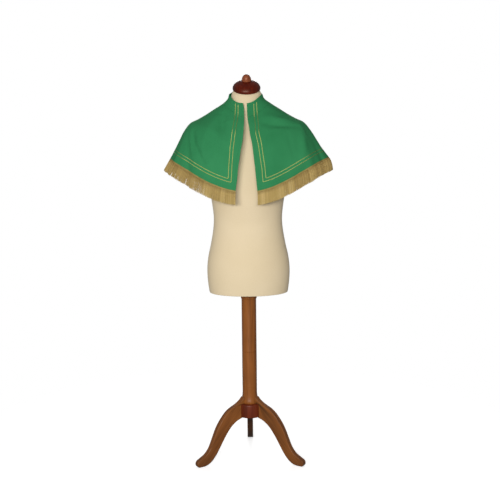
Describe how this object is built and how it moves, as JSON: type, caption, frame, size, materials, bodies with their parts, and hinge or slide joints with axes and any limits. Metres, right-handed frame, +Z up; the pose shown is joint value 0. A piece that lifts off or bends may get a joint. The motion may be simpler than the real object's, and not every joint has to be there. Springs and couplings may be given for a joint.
{
  "type": "altar server cape on a limbless dress form",
  "caption": "Green altar server cape with a stand collar, gold braid lines and a gold fringe, open in front, on a limbless dress form with a turned wooden tripod stand.",
  "frame": {"origin": "on the floor, at the middle of the footprint of the whole thing", "axes": "+Z up along the post; -Y is the front, where the cape opens; +X is the wearer's left"},
  "size_m": [0.664, 0.4196, 1.5499],
  "materials": {
    "green_cloth": "matt plain-weave cloth with a slight sheen",
    "gold_braid": "flat woven metallic braid, light satin",
    "gold_fringe": "twisted rayon bullion, soft satin",
    "cream_jersey": "matt fine knit jersey",
    "mahogany": "dark turned wood under gloss varnish",
    "varnished_wood": "oak-brown wood under satin varnish"
  },
  "bodies": {
    "root": {"collar_band": "green_cloth", "front_panel_right": "green_cloth", "front_panel_left": "green_cloth", "back_panel": "green_cloth", "braid_outer": "gold_braid", "braid_inner": "gold_braid", "hem_fringe": "gold_fringe", "dress_form": "cream_jersey", "neck_cap": "mahogany", "neck_knob": "mahogany", "pole": "varnished_wood", "hub": "varnished_wood", "leg_front_right": "varnished_wood", "leg_front_left": "varnished_wood", "leg_rear": "varnished_wood"}
  },
  "joints": []
}
